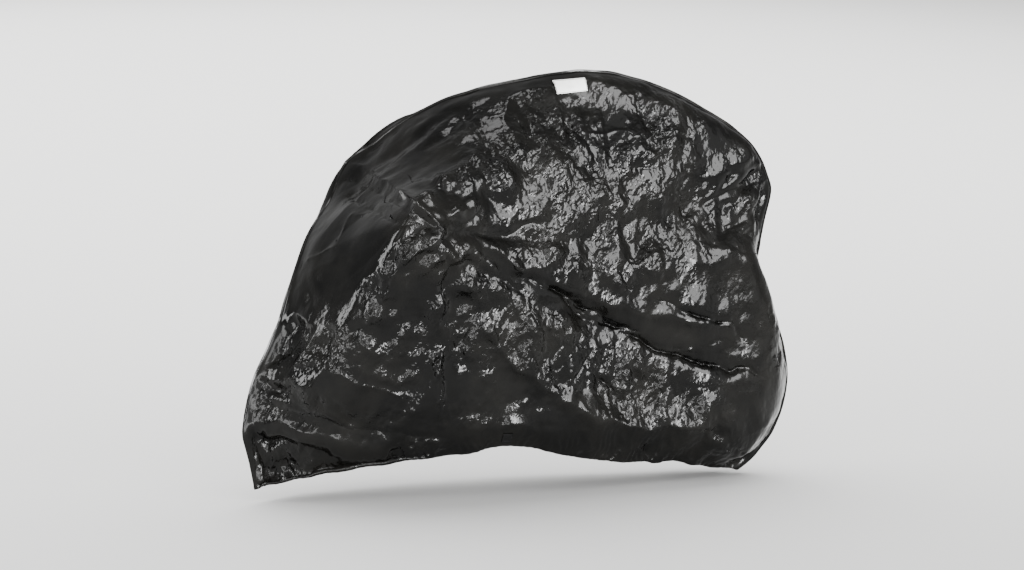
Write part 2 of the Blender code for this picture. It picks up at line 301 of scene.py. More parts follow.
# share of the crumple where nothing else is said, then places where the film is smoother or more
# crumpled: x, height above the ground, half width and half height in millimetres, turn in degrees
# and share
calmShare = 0.45
nearPatches = (
    (-219, 478, 126, 164, 0, 1),
    (-314, 343, 79, 111, 0, 1),
    (-94, 250, 136, 49, 10, 0.9),
    (-192, 927, 116, 73, -25, 1.2),
    (-430, 660, 130, 190, 0, 0.02),
    (-335, 800, 80, 70, 20, 0.02),
    (53, 930, 299, 130, 0, 1),
    (246, 752, 185, 89, 0, 1.4),
    (424, 967, 127, 104, 0, 1.2),
    (558, 802, 186, 87, -10, 1.6),
    (671, 694, 108, 32, -25, 1.4),
    (-160, 951, 55, 27, -20, 1.1),
    (-172, 870, 38, 69, 0, 0.9),
    (-185, 788, 67, 20, 0, 1.2),
    (7, 653, 111, 30, 20, 1.4),
    (210, 620, 135, 52, 15, 1.5),
    (481, 614, 201, 48, 0, 1.4),
    (-285, 704, 61, 24, -28, 1.5),
    (-270, 653, 53, 24, -20, 1.2),
    (-369, 550, 30, 86, 15, 1.4),
    (-320, 440, 63, 66, 0, 1),
    (-113, 619, 122, 33, 38, 1.7),
    (-71, 489, 129, 98, 20, 1.2),
    (114, 396, 133, 95, 20, 1.8),
    (311, 291, 118, 88, 20, 1.8),
    (546, 210, 174, 56, 0, 1.1),
    (-555, 415, 82, 42, 0, 1.8),
    (-481, 447, 43, 31, -10, 1.4),
    (-540, 295, 111, 25, 14, 1.3),
    (-381, 255, 108, 20, 8, 1.3),
    (-619, 178, 52, 22, 30, 0.9),
    (-272, 130, 185, 34, -10, 1.4),
    (-178, 295, 28, 84, 0, 1),
    (-12, 272, 112, 22, 25, 0.8),
    (-516, 565, 43, 58, -20, 0.8),
    (-448, 626, 64, 126, 0, 0),
    (-355, 785, 41, 33, 33, 0),
    (-35, 630, 101, 23, 25, 0),
    (125, 526, 139, 32, 27, 0),
    (301, 464, 119, 32, 12, 0.1),
    (563, 418, 241, 66, 12, 0.12),
    (133, 148, 345, 41, 3, 0),
    (695, 236, 113, 115, 0, 0.15),
    (-507, 176, 175, 34, 14, 0.1),
    (-391, 323, 155, 31, 17, 0.1),
    (-124, 312, 167, 55, 25, 0.12),
    (128, 210, 172, 24, 10, 0.1),
    (-47, 723, 147, 15, 0, 0.15),
    (677, 527, 111, 92, 0, 0.2),
    (646, 791, 140, 24, -27, 0.05),
    (646, 695, 109, 16, -30, 0.5),
    (-222, 844, 23, 82, 0, 0.3),
    (-365, 640, 105, 26, -62, 1.0),
    (-215, 460, 12, 250, 0, 1.6),
    (-140, 630, 70, 20, 45, 1.6),
    (-300, 350, 30, 110, -8, 1.3),
    (-360, 760, 50, 30, 40, 0),
)

# main creases: points of the line as x, y and height above the ground, depth outwards and width
# above and below the line, all in millimetres; ends and taper are the shares of the depth and of the
# width at both ends; sharp is the power of the falling off; thin ones get a finer mesh
creaseDefaults = {"sharp": 1, "ends": (0, 0), "taper": (1, 1), "thin": False}
creaseFade = {"margin": 0.05, "length": 0.25}     # shares of the line over which its ends fade
nearCreases = {
    "shoulderRidge": {
        "line": ((-343, 249, 870), (-310, 108, 855), (-303, -156, 839), (-287, -303, 813),
                 (-242, -314, 772), (-224, -321, 746)),
        "depth": 12, "width": (45, 14), "ends": (0, 0.4), "taper": (1, 0.5),
    },
    "shoulderFoldUpper": {
        "line": ((-361, 208, 831), (-338, 107, 827), (-331, -126, 816), (-305, -312, 791),
                 (-236, -320, 746)),
        "depth": -6, "width": (10, 20), "ends": (1, 0), "taper": (1.3, 0.6), "thin": True,
    },
    "shoulderFoldLower": {
        "line": ((-365, 133, 806), (-365, -54, 788), (-353, -252, 773), (-306, -317, 764),
                 (-241, -320, 741)),
        "depth": -8, "width": (16, 20), "ends": (0.6, 0), "taper": (1.2, 0.6), "thin": True,
    },
    "cornerFold": {
        "line": ((-372, 138, 800), (-375, 66, 789), (-373, 3, 785)),
        "depth": -6, "width": (10, 8), "ends": (1, 0), "taper": (1, 0.6), "thin": True,
    },
    "tipShelfTop": {
        "line": ((-231, -321, 744), (-280, -318, 732), (-321, -311, 710), (-340, -303, 681)),
        "depth": -6, "width": (14, 20), "taper": (0.6, 1), "thin": True,
    },
    "tipShelf": {
        "line": ((-226, -321, 731), (-272, -316, 703), (-324, -304, 673), (-350, -290, 631),
                 (-372, -271, 564), (-390, -243, 483)),
        "depth": 18, "width": (36, 20), "ends": (0.15, 0), "taper": (0.5, 1.2), "thin": True,
    },
    "packUpright": {
        "line": ((-236, -321, 716), (-231, -290, 613), (-222, -265, 505), (-213, -237, 395),
                 (-207, -203, 283), (-203, -174, 171)),
        "depth": 4, "width": (7, 7), "thin": True,
    },
    "tipRib": {
        "line": ((-223, -322, 720), (-187, -293, 659), (-145, -265, 593), (-93, -242, 522)),
        "depth": 14, "width": (34, 22), "ends": (0.3, 0), "taper": (0.5, 1.3),
    },
    "longCrack": {
        "line": ((-27, -239, 609), (11, -229, 599), (85, -211, 576), (127, -202, 550), (171, -184, 519),
                 (206, -178, 498), (247, -174, 481), (301, -171, 445), (370, -157, 429)),
        "depth": -20, "width": (8, 6), "thin": True,
    },
    "crackBranch": {
        "line": ((124, -202, 548), (176, -187, 501), (208, -182, 477), (272, -174, 457),
                 (330, -166, 446)),
        "depth": -15, "width": (6, 6), "thin": True,
    },
    "rearCrack": {
        "line": ((322, -168, 424), (373, -159, 407), (424, -151, 377), (484, -141, 366), (541, -134, 336),
                 (604, -127, 314), (647, -122, 315), (676, -120, 309), (720, -112, 295)),
        "depth": -22, "width": (8, 6), "thin": True,
    },
    "rearCrackTop": {
        "line": ((400, -158, 518), (439, -152, 509), (465, -144, 485), (513, -136, 474), (556, -129, 460),
                 (581, -125, 448), (622, -121, 446)),
        "depth": -18, "width": (7, 6), "thin": True,
    },
    "rearCrackUpright": {
        "line": ((624, -123, 468), (648, -115, 421), (668, -108, 387)),
        "depth": -6, "width": (6, 6), "thin": True,
    },
    "rearThread": {
        "line": ((433, -149, 376), (512, -136, 373), (558, -126, 380), (604, -117, 388)),
        "depth": 5, "width": (4, 4), "thin": True,
    },
    "flankRidge": {
        "line": ((-135, -251, 539), (-54, -219, 419), (14, -202, 347), (63, -194, 314), (127, -185, 272),
                 (179, -180, 238), (245, -174, 207), (386, -140, 172), (561, -116, 164),
                 (670, -102, 161)),
        "depth": 24, "width": (100, 30), "sharp": 1.2, "taper": (0.7, 1),
    },
    "waist": {
        "line": ((-210, -312, 732), (-47, -226, 713), (99, -193, 694), (242, -176, 676), (364, -147, 676),
                 (471, -122, 689), (549, -104, 700)),
        "depth": -7, "width": (20, 24), "sharp": 1.3, "taper": (0.6, 1),
    },
    "rearTroughUpper": {
        "line": ((719, -45, 820), (646, -69, 794), (589, -85, 768), (530, -91, 743)),
        "depth": -13, "width": (20, 24), "sharp": 1.3, "ends": (1, 0), "taper": (1.2, 0.8),
    },
    "rearTroughLower": {
        "line": ((763, -22, 725), (697, -67, 721), (641, -88, 695), (589, -103, 672), (545, -115, 666)),
        "depth": -9, "width": (16, 18), "sharp": 1.2, "ends": (1, 0), "taper": (1.2, 0.8),
    },
    "packTop": {
        "line": ((269, -86, 1040), (270, -119, 960), (269, -141, 877)),
        "depth": 4, "width": (7, 7), "thin": True,
    },
    "shortCrease": {
        "line": ((223, -180, 385), (172, -183, 328), (130, -185, 280)),
        "depth": -9, "width": (6, 6), "thin": True,
    },
    "flankCrack": {
        "line": ((216, -177, 333), (282, -163, 279), (327, -155, 246), (364, -147, 212),
                 (386, -141, 177)),
        "depth": -9, "width": (7, 7), "thin": True,
    },
    "frontBranch": {
        "line": ((-620, -71, 227), (-568, -100, 222), (-521, -119, 204), (-483, -130, 194),
                 (-446, -140, 199)),
        "depth": -3, "width": (10, 12),
    },
    "frontLine": {
        "line": ((-520, -158, 386), (-460, -199, 358), (-402, -200, 329), (-328, -201, 307),
                 (-272, -202, 294)),
        "depth": 5, "width": (6, 12), "thin": True,
    },
    "frontGloss": {
        "line": ((-626, -24, 364), (-591, -66, 382), (-553, -116, 391), (-511, -165, 395)),
        "depth": 7, "width": (20, 10),
    },
    "foldLineTop": {
        "line": ((-68, -88, 971), (90, -130, 976), (260, -117, 971), (439, -85, 961), (623, -49, 948)),
        "depth": 3, "width": (5, 5), "thin": True,
    },
    "foldLineWaist": {
        "line": ((-125, -216, 887), (76, -176, 883), (251, -144, 878), (401, -115, 871), (523, -92, 862)),
        "depth": -3, "width": (5, 5), "thin": True,
    },
    "slantLeft": {
        "line": ((-147, -228, 879), (-78, -122, 951), (-13, -27, 1042)),
        "depth": 3, "width": (5, 5), "thin": True,
    },
    "slantMiddle": {
        "line": ((-10, -208, 763), (36, -200, 808), (90, -183, 841)),
        "depth": 3, "width": (5, 5), "thin": True,
    },
    "slantRight": {
        "line": ((179, -109, 1007), (220, -136, 939), (263, -145, 864), (294, -153, 779)),
        "depth": -4, "width": (5, 5), "thin": True,
    },
    "slantTop": {
        "line": ((226, -83, 1057), (247, -104, 1005), (265, -126, 942)),
        "depth": 3, "width": (5, 5), "thin": True,
    },
    "slantLow": {
        "line": ((88, -211, 638), (113, -201, 662), (145, -187, 683)),
        "depth": -4, "width": (5, 5), "thin": True,
    },
    "shoulderCrest": {
        "line": ((-305, -144, 838), (-286, -302, 815), (-242, -314, 774), (-224, -321, 746)),
        "depth": 9, "width": (6, 5), "ends": (0, 1), "taper": (1.2, 0.8), "thin": True,
    },
    "shoulderCrestFold": {
        "line": ((-318, -151, 826), (-301, -307, 801), (-259, -316, 767), (-233, -320, 746)),
        "depth": -6, "width": (6, 7), "taper": (1.2, 0.6), "thin": True,
    },
    "upperRidge": {
        "line": ((-214, -316, 735), (-117, -272, 693), (-47, -236, 662), (3, -230, 625), (65, -213, 602),
                 (147, -199, 557), (230, -180, 535), (300, -172, 507), (407, -146, 472), (542, -128, 447),
                 (677, -115, 429), (768, -82, 403)),
        "depth": 15, "width": (50, 34), "ends": (0.3, 0), "taper": (0.5, 1),
    },
    "bandTrough": {
        "line": ((-204, -310, 718), (-133, -271, 649), (-82, -255, 618), (-27, -240, 591),
                 (15, -226, 563), (53, -226, 525), (125, -208, 485), (225, -180, 457), (360, -161, 416),
                 (542, -132, 360), (708, -114, 283)),
        "depth": -13, "width": (22, 60), "ends": (0.3, 0), "taper": (0.5, 1),
    },
    "rearSlope": {
        "line": ((514, -122, 663), (635, -104, 637)),
        "depth": 8, "width": (20, 65), "ends": (0.2, 1),
    },
    "frontCrack": {
        "line": ((-649, -43, 261), (-609, -82, 256), (-568, -101, 246), (-528, -125, 241),
                 (-485, -136, 225), (-428, -146, 210), (-356, -159, 203), (-282, -168, 189),
                 (-189, -174, 176)),
        "depth": -9, "width": (14, 26), "thin": True,
    },
    "frontCrackLow": {
        "line": ((-625, -65, 205), (-601, -78, 190), (-575, -92, 177), (-539, -101, 158),
                 (-508, -101, 138), (-479, -106, 126)),
        "depth": -4, "width": (16, 22),
    },
    "hemPinch": {
        "line": ((393, -120, 68), (389, -132, 131)),
        "depth": -6, "width": (6, 6), "ends": (1, 0), "thin": True,
    },
    "rearDent": {
        "line": ((613, -100, 114), (646, -83, 100), (678, -67, 84)),
        "depth": -7, "width": (8, 8), "thin": True,
    },
    "rearHem": {
        "line": ((553, -107, 101), (618, -103, 125), (687, -95, 153), (753, -75, 180)),
        "depth": 6, "width": (10, 16),
    },
    "leftLine": {
        "line": ((-511, 46, 627), (-476, -19, 661), (-446, -76, 688)),
        "depth": 4, "width": (6, 6), "thin": True,
    },
    "leftLineTop": {
        "line": ((-448, -64, 689), (-424, -29, 732), (-400, -17, 759), (-377, -59, 776)),
        "depth": 4, "width": (5, 5), "thin": True,
    },
}
farCreases = {
    "shoulderFold": {
        "line": ((-330, 300, 860), (-400, 300, 640), (-480, 230, 420)),
        "depth": 9, "width": (16, 16),
    },
    "longDiagonal": {
        "line": ((-180, 270, 700), (60, 220, 520), (300, 180, 330)),
        "depth": -14, "width": (24, 50),
    },
    "packUpright": {
        "line": ((100, 150, 950), (100, 200, 550), (100, 190, 200)),
        "depth": 4, "width": (7, 7),
    },
}

# the sharp point that the film is pushed out to: x, y and height above the ground, depth and width;
# how far around it the crumple and the creases' wander fade, and what is left of each crumple there
nearTip = {
    "point": (-0.226, -0.321, 0.748),
    "depth": 0.010,
    "width": 0.022,
    "calm": 0.12,
    "straight": 0.45,
    "left": {"middle": 0.2, "fine": 0.4},
}

# the creases wander a little off their lines
wander = {"clouds": 0.010, "tremble": 0.003, "trembleSize": 0.018, "seed": 9}

# gathers of the elastic hem
pleats = {
    "pitch": 0.021,
    "depth": 0.0024,
    "reach": 0.045,              # how far up they fade, and how much farther in places
    "longReach": 0.120,
    "reachShift": 0.2,
    "limit": 0.26,               # none higher above the hem
    "uneven": 1.3,               # pitches that the gathers stray by
    "unevenSize": 0.060,
    "seed": 5,
    "levelled": 0.15,            # share of their move that goes up or down
}

# unevenness that both panels share, also at the seam
wobbles = ({"size": 0.070, "seed": 2, "depth": 0.0030}, {"size": 0.021, "seed": 4, "depth": 0.00036})


def mergedCopy(nodeName):
    bm = bmesh.new()
    bm.from_mesh(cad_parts[nodeName].data)
    bmesh.ops.remove_doubles(bm, verts=bm.verts, dist=film["mergeDistance"])
    return bm


def islandsOf(bm):
    left = set(bm.faces)
    islands = []
    while left:
        todo = [left.pop()]
        island = set()
        while todo:
            face = todo.pop()
            island.add(face)
            for edge in face.edges:
                for other in edge.link_faces:
                    if other in left:
                        left.remove(other)
                        todo.append(other)
        islands.append(island)
    return islands


def innerSheet(nodeName, side):
    # the solid's face towards the cover's room, without the rim and the outer face
    bm = mergedCopy(nodeName)
    thickness = film["solidThickness"]
    rim = {
        face
        for edge in bm.edges
        if abs(edge.calc_length() - thickness) < 0.1 * thickness
        for face in edge.link_faces
    }
    bmesh.ops.delete(bm, geom=[face for face in bm.faces if face in rim], context="FACES")
    inner = min(islandsOf(bm), key=lambda i: side * np.mean([f.calc_center_median().y for f in i]))
    bmesh.ops.delete(bm, geom=[face for face in bm.faces if face not in inner], context="FACES")
    loose = [vert for vert in bm.verts if not vert.link_faces]
    bmesh.ops.delete(bm, geom=loose, context="VERTS")
    bmesh.ops.join_triangles(
        bm, faces=bm.faces, angle_face_threshold=math.pi, angle_shape_threshold=math.pi
    )
    return bm


def treeOf(points):
    tree = kdtree.KDTree(len(points))
    for i, point in enumerate(points):
        tree.insert(point, i)
    tree.balance()
    return tree


def roundedSheet(name, bm, otherTree):
    # the seam line keeps its place, so that both panels still meet along it
    crease = bm.edges.layers.float.new("crease_edge")
    weld = bm.verts.layers.float.new("weld")
    onSeam = {v for v in bm.verts if otherTree.find(v.co)[2] < film["seamReach"]}
    for vert in onSeam:
        vert[weld] = 1.0
    for edge in bm.edges:
        inside = not edge.is_boundary and not any(v.is_boundary for v in edge.verts)
        if inside and all(v in onSeam for v in edge.verts):
            edge[crease] = 1.0
    sheet = meshObject(name, bm)
    rounding = sheet.modifiers.new("rounding", "SUBSURF")
    rounding.levels = rounding.render_levels = film["rounding"]
    bakeModifiers(sheet)
    return sheet


def longEdges(bm, longest):
    return [edge for edge in bm.edges if edge.calc_length() > longest]


def splitEdges(bm, edges):
    if edges:
        bmesh.ops.subdivide_edges(bm, edges=edges, cuts=1, use_grid_fill=True)


def besideThinCreases(edges, creases):
    middles = np.array([(e.verts[0].co + e.verts[1].co) / 2 for e in edges])
    close = np.zeros(len(edges), dtype=bool)
    for crease in creases.values():
        if crease["thin"]:
            nearest, _, _ = alongLine(middles, crease["line"])
            close |= nearest < film["creaseStrip"]
    return [edge for edge, near in zip(edges, close) if near]


def refine(obj, creases):
    bm = bmesh.new()
    bm.from_mesh(obj.data)
    for _ in range(film["splits"]):
        splitEdges(bm, longEdges(bm, film["longestEdge"]))
    for _ in range(film["creaseSplits"]):
        splitEdges(bm, besideThinCreases(longEdges(bm, film["creaseEdge"]), creases))
    bmesh.ops.triangulate(bm, faces=bm.faces)
    bm.to_mesh(obj.data)
    bm.free()


def pointsOf(obj):
    flat = np.empty(len(obj.data.vertices) * 3)
    obj.data.vertices.foreach_get("co", flat)
    return flat.reshape(-1, 3)


def normalsOf(obj):
    flat = np.empty(len(obj.data.vertices) * 3, dtype=np.float32)
    obj.data.vertex_normals.foreach_get("vector", flat)
    return flat.reshape(-1, 3).astype(float)


def smoothStep(t):
    t = np.clip(t, 0.0, 1.0)
    return t * t * (3 - 2 * t)


def between(least, share):
    return least + (1 - least) * share


def noiseAt(points, size, seed):
    shift = Vector((7.3 * seed, 3.1 * seed, 5.7 * seed))
    return np.array([noise.noise_vector(Vector(p) / size + shift) for p in points])


def foldedHeight(points, size, slope, folds, upright, seed):
    # every turn folds space back over parallel planes, which leaves flat facets between creases
    draw = np.random.default_rng(seed)
    place = points / size / np.array((1.0, 1.0, upright))
    place = place + folding["bend"] * noiseAt(points, size * folding["bendSize"], seed)
    for _ in range(folds):
        way = draw.normal(size=3)
        way /= np.linalg.norm(way)
        pitch = draw.uniform(*folding["pitch"])
        across = place @ way
        folded = np.abs((across / pitch + draw.uniform(0, 2)) % 2 - 1) * pitch
        place = place + (folded - across)[:, None] * way
    way = draw.normal(size=3)
    way /= np.linalg.norm(way)
    height = place @ way
    return (height - height.mean()) * size * slope


def alongLine(points, line):
    # distance to the line, share of its length, and on which side of it each point lies
    corners = np.array(line) / 1000 - np.array(hangPoint)
    lengths = np.linalg.norm(np.diff(corners, axis=0), axis=1)
    starts = np.concatenate([[0.0], np.cumsum(lengths)])
    nearest = np.full(len(points), np.inf)
    along = np.zeros(len(points))
    above = np.zeros(len(points), dtype=bool)
    for k, length in enumerate(lengths):
        run = corners[k + 1] - corners[k]
        t = np.clip((points - corners[k]) @ run / (run @ run), 0, 1)
        gap = points - corners[k] - t[:, None] * run
        away = np.linalg.norm(gap, axis=1)
        closer = away < nearest
        nearest[closer] = away[closer]
        along[closer] = starts[k] + t[closer] * length
        above[closer] = (run[0] * gap[:, 2] - run[2] * gap[:, 0])[closer] > 0
    return nearest, along / starts[-1], above


def endFade(share, value):
    return between(value, smoothStep((share + creaseFade["margin"]) / creaseFade["length"]))


def creaseHeight(points, creases):
    total = np.zeros(len(points))
    for crease in creases.values():
        nearest, share, above = alongLine(points, crease["line"])
        first, last = crease["taper"]
        width = np.where(above, *crease["width"]) / 1000 * (first + (last - first) * share)
        start, end = crease["ends"]
        fade = endFade(share, start) * endFade(1 - share, end)
        total += crease["depth"] / 1000 * fade * np.exp(-((nearest / width) ** crease["sharp"]))
    return total


def patchShare(points, patches):
    share = np.full(len(points), calmShare)
    for x, h, halfWidth, halfHeight, turn, value in patches:
        across = points[:, 0] + hangPoint.x - x / 1000
        up = points[:, 2] + hangPoint.z - h / 1000
        a = math.radians(turn)
        u = (across * math.cos(a) - up * math.sin(a)) / (halfWidth / 1000)
        v = (across * math.sin(a) + up * math.cos(a)) / (halfHeight / 1000)
        share += (value - share) * np.exp(-((u**2 + v**2) ** 2))
    return share


def crumpleShares(points, patches, wide, small, hanging):
    # how much of the middle and of the fine crumple there is at each point
    pushWide, pushSmall = clouds["pushPatches"]
    share = patchShare(points + pushWide * wide + pushSmall * small, patches)
    share *= 1.0 + clouds["addMiddle"] * wide[:, 0]
    addWide, addSmall = clouds["addFine"]
    fine = share * between(lying["fine"], hanging)
    fine = np.clip(fine * (1.0 + addWide * wide[:, 0] + addSmall * small[:, 0]), *crumpleLimits["fine"])
    middle = np.clip(share * between(lying["middle"], hanging), *crumpleLimits["middle"])
    return middle, fine


def gatherHeight(points, hemAway, hemPlace, wide):
    stray = noiseAt(points, pleats["unevenSize"], pleats["seed"])[:, 1]
    turns = hemPlace / pleats["pitch"] + pleats["uneven"] * stray
    reach = pleats["reach"] + pleats["longReach"] * np.clip(wide[:, 1] + pleats["reachShift"], 0, 1)
    wave = 1 - 2 * np.abs(np.sin(math.pi * turns))
    height = pleats["depth"] * wave * np.exp(-hemAway / reach)
    return height * smoothStep((pleats["limit"] - hemAway) / pleats["longReach"])


def edgeLines(obj):
    # points of the welded strip, where the weld is 1, and of the open hem, where it is 0
    bm = bmesh.new()
    bm.from_mesh(obj.data)
    weld = bm.verts.layers.float["weld"]
    seam = [v.co.copy() for v in bm.verts if v[weld] > 0.99]
    hem = [v.co.copy() for v in bm.verts if v.is_boundary and v[weld] < 0.5]
    bm.free()
    return seam, hem


def distanceTo(points, linePoints):
    # distance to the nearest of the line's points, and the x of that one
    tree = treeOf(linePoints)
    found = [tree.find(p) for p in points]
    return np.array([f[2] for f in found]), np.array([f[0].x for f in found])


def drapeFilm(name, bm, side, creases, patches, otherTree):
    creases = {key: {**creaseDefaults, **crease} for key, crease in creases.items()}
    sheet = roundedSheet(name, bm, otherTree)
    refine(sheet, creases)
    points, normals = pointsOf(sheet), normalsOf(sheet)
    if side * normals[:, 1].mean() < 0:
        normals = -normals    # outwards, away from the cover's room
    seam, hem = edgeLines(sheet)
    seamAway, _ = distanceTo(points, seam)
    hemAway, hemPlace = distanceTo(points, hem)
    wide, small = noiseAt(points, **clouds["wide"]), noiseAt(points, **clouds["small"])
    hanging = smoothStep((side * normals[:, 1] - lying["start"]) / lying["span"])
    middle, fine = crumpleShares(points, patches, wide, small, hanging)
    stray = wander["clouds"] * small
    stray += wander["tremble"] * noiseAt(points, wander["trembleSize"], wander["seed"])
    if side == nearSide:
        tipAway = np.linalg.norm(points - (np.array(nearTip["point"]) - np.array(hangPoint)), axis=1)
        stray *= smoothStep(tipAway / nearTip["straight"])[:, None]
        clear = smoothStep(tipAway / nearTip["calm"])
        middle *= between(nearTip["left"]["middle"], clear)
        fine *= between(nearTip["left"]["fine"], clear)
    relief = creaseHeight(points + stray, creases)
    if side == nearSide:
        relief += nearTip["depth"] * np.exp(-tipAway / nearTip["width"])
    relief += middle * foldedHeight(points, **crumple["middle"])
    relief += fine * foldedHeight(points, **crumple["fine"])
    beside = smoothStep(seamAway / calm["seam"])
    relief *= beside * between(calmLeft["hem"], smoothStep(hemAway / calm["hem"]))
    if side == nearSide:
        underTrim = flatMask(points, label) * between(calmLeft["tab"], flatMask(points, hemTab))
        relief *= underTrim
        fine *= underTrim
    # coarse folds run on through all places
    coarse = foldedHeight(points, **crumple["coarse"]) * smoothStep(seamAway / calm["seamCoarse"])
    relief += coarse * smoothStep((hemAway + coarseAtHem) / calm["hemCoarse"])
    gathers = gatherHeight(points, hemAway, hemPlace, wide) * beside
    level = normals * (1.0, 1.0, pleats["levelled"])
    moved = points + normals * relief[:, None] + level * gathers[:, None]
    for wobble in wobbles:
        moved += wobble["depth"] * noiseAt(points, wobble["size"], wobble["seed"])
    sheet.data.vertices.foreach_set("co", moved.ravel())
    sheet.data.update()
    crinkle = sheet.data.attributes.new("crinkle", "FLOAT", "POINT")
    strength = np.clip(filmLook["leastBump"] + fine / filmLook["fullBump"], 0, 1)
    strength *= between(lying["bump"], hanging) * smoothStep(seamAway / calm["seamBump"])
    crinkle.data.foreach_set("value", strength.astype(np.float32))
    sheet.data.shade_smooth()
    print(name, "has", len(sheet.data.polygons), "triangles")
    return sheet


# the film's finish

filmLook = {
    "colour": (0.0012, 0.0012, 0.0011),
    "dustColour": (0.0058, 0.0055, 0.0047),
    "roughness": (0.10, 0.22),
    "specular": 0.18,
    "clouds": {"scale": 5.0, "detail": 9.0, "roughness": 0.62},
    "dustRange": (0.42, 0.75),           # where in the clouds the dust and the gloss come and go
    "glossRange": (0.35, 0.70),
    # crinkle that is finer than the mesh, as sheets folded over and over again
    "crinkles": (
        {"size": 0.026, "folds": 5, "seed": 41, "depth": 0.20},
        {"size": 0.009, "folds": 5, "seed": 53, "depth": 0.22},
    ),
    "bend": 0.8,
    "bendScale": 0.9,
    "leastBump": 0.14,                   # the crinkle where there is no fine crumple
    "fullBump": 1.6,
}


def makeFilmMaterial():
    material, tree, shader = newMaterial("blackFilm")
    place = objectPlace(tree)
    cloudy = cloudNode(tree, place, **filmLook["clouds"])
    dust = ranged(tree, cloudy, (0.0, 1.0), filmLook["dustRange"])
    crumpled = addNode(tree, "ShaderNodeAttribute", attribute_name="crinkle").outputs["Fac"]
    normal = {}
    for look in filmLook["crinkles"]:
        height = foldedField(tree, place, look)
        normal = {"Normal": bumped(tree, height, look["size"] * look["depth"], crumpled, **normal)}
    fill(tree, shader, {
        "Base Color": mixed(tree, dust, rgba(filmLook["colour"]), rgba(filmLook["dustColour"])),
        "Roughness": ranged(tree, cloudy, filmLook["roughness"], filmLook["glossRange"]),
        "Specular IOR Level": filmLook["specular"],
        **normal,
    })
    return material


def foldedField(tree, source, look):
    # the crumple's way of folding space, here for the finish
    draw = np.random.default_rng(look["seed"])
    scale = 1.0 / look["size"]
    bend = cloudNode(tree, source, "Color", scale=scale * filmLook["bendScale"], detail=1.0)
    scaled = vectorNode(tree, "SCALE", source, scale=scale)
    place = vectorNode(tree, "MULTIPLY_ADD", bend, (filmLook["bend"],) * 3, scaled)
    for _ in range(look["folds"]):
        way = tuple(Vector(draw.normal(size=3)).normalized())
        across = vectorNode(tree, "DOT_PRODUCT", place, way)
        folded = mathNode(tree, "PINGPONG", across, draw.uniform(*folding["pitch"]))
        step = vectorNode(tree, "SCALE", way, scale=mathNode(tree, "SUBTRACT", folded, across))
        place = vectorNode(tree, "ADD", place, step)
    return vectorNode(tree, "DOT_PRODUCT", place, tuple(Vector(draw.normal(size=3)).normalized()))


# label, hem tab and stitches

label = {
    "centre": (0.201, 1.087),    # x and height above the ground
    "width": 0.086,
    "height": 0.034,
    "tilt": 4.6,
    "lift": 0.0004,              # clear of the film
    "thickness": 0.0005,
    "corner": 0.0020,
    "colour": (0.74, 0.74, 0.72),
    "dull": 0.86,                # darkest places of the white
    "borderInset": 0.0013,
    "borderWidth": 0.0010,
    "borderEdge": 0.0002,
    "borderColour": (0.05, 0.05, 0.05),
    "clouds": {"scale": 60.0, "detail": 5.0},
    "dullRange": (0.45, 0.75),
    "roughness": (0.28, 0.45),
    "bump": (0.0006, 0.3),       # distance and strength
}

hemTab = {
    "centre": (-0.017, 0.169),
    "width": 0.027,
    "height": 0.026,
    "tilt": -3.0,
    "lift": 0.0004,
    "thickness": 0.0012,
    "corner": 0.0015,
    "seamInset": 0.0030,
    "sideStitches": 6,           # guide points on each side of its seam
    "colour": (0.004, 0.004, 0.004),
    "paintedShadeAndHighlight": (0.5, 2.0),        # of the colour: painted shade between the woven threads and painted highlight on them
    "weave": 0.0011,
    "bump": (0.0003, 0.8),
    "roughness": 0.75,
    "specular": 0.05,
}

stitching = {
    "pitch": 0.0042,
    "length": 0.0030,
    "thread": 0.00035,
    "hemLine": 0.012,            # above the hem's edge
    "hemStep": 0.006,            # between the guide points along the hem
    "hemEnds": 0.010,            # without stitches at both ends of the hem
    "colour": (0.010, 0.010, 0.010),
    "twist": {"scale": 900.0},
    "lightShade": 2.2,
    "roughness": 0.55,
    "specular": 0.10,
}

plateCell = 0.001      # of the mesh of label and tab
levelWay = Vector((0, 1, 0))


def tiltOf(piece):
    return Matrix.Rotation(-math.radians(piece["tilt"]), 3, "Y")


def spotOn(piece, u, v):
    # where a place on the piece lies, seen level from the near side
    x, h = piece["centre"]
    return Vector((x, 0, h)) - hangPoint + tiltOf(piece) @ Vector((u, 0, v))


def faceAt(tree, spot):
    hit, normal, _, _ = tree.ray_cast(Vector((spot.x, nearSide, spot.z)), levelWay)
    return hit, normal


def faceTree(obj):
    return BVHTree.FromObject(obj, bpy.context.evaluated_depsgraph_get())


def flatMask(points, piece):
    # 0 under a piece that lies flat on the film, 1 away from it
    tilt = math.radians(piece["tilt"])
    x = points[:, 0] + hangPoint.x - piece["centre"][0]
    h = points[:, 2] + hangPoint.z - piece["centre"][1]
    across = np.abs(x * math.cos(tilt) + h * math.sin(tilt)) - piece["width"] / 2
    up = np.abs(h * math.cos(tilt) - x * math.sin(tilt)) - piece["height"] / 2
    away = np.hypot(np.maximum(across, 0), np.maximum(up, 0))
    return smoothStep(away / calm["trim"])


def edgeDistance(u, v, piece):
    # from a place on the plate to its rounded edge, negative outside
    r = piece["corner"]
    across = abs(u) - (piece["width"] / 2 - r)
    up = abs(v) - (piece["height"] / 2 - r)
    return r - math.hypot(max(across, 0), max(up, 0)) - min(max(across, up), 0)


def pulledIn(u, v, piece):
    # a place outside a rounded corner, moved in to its arc
    r = piece["corner"]
    cu = math.copysign(piece["width"] / 2 - r, u)
    cv = math.copysign(piece["height"] / 2 - r, v)
    k = r / math.hypot(u - cu, v - cv)
    return cu + (u - cu) * k, cv + (v - cv) * k


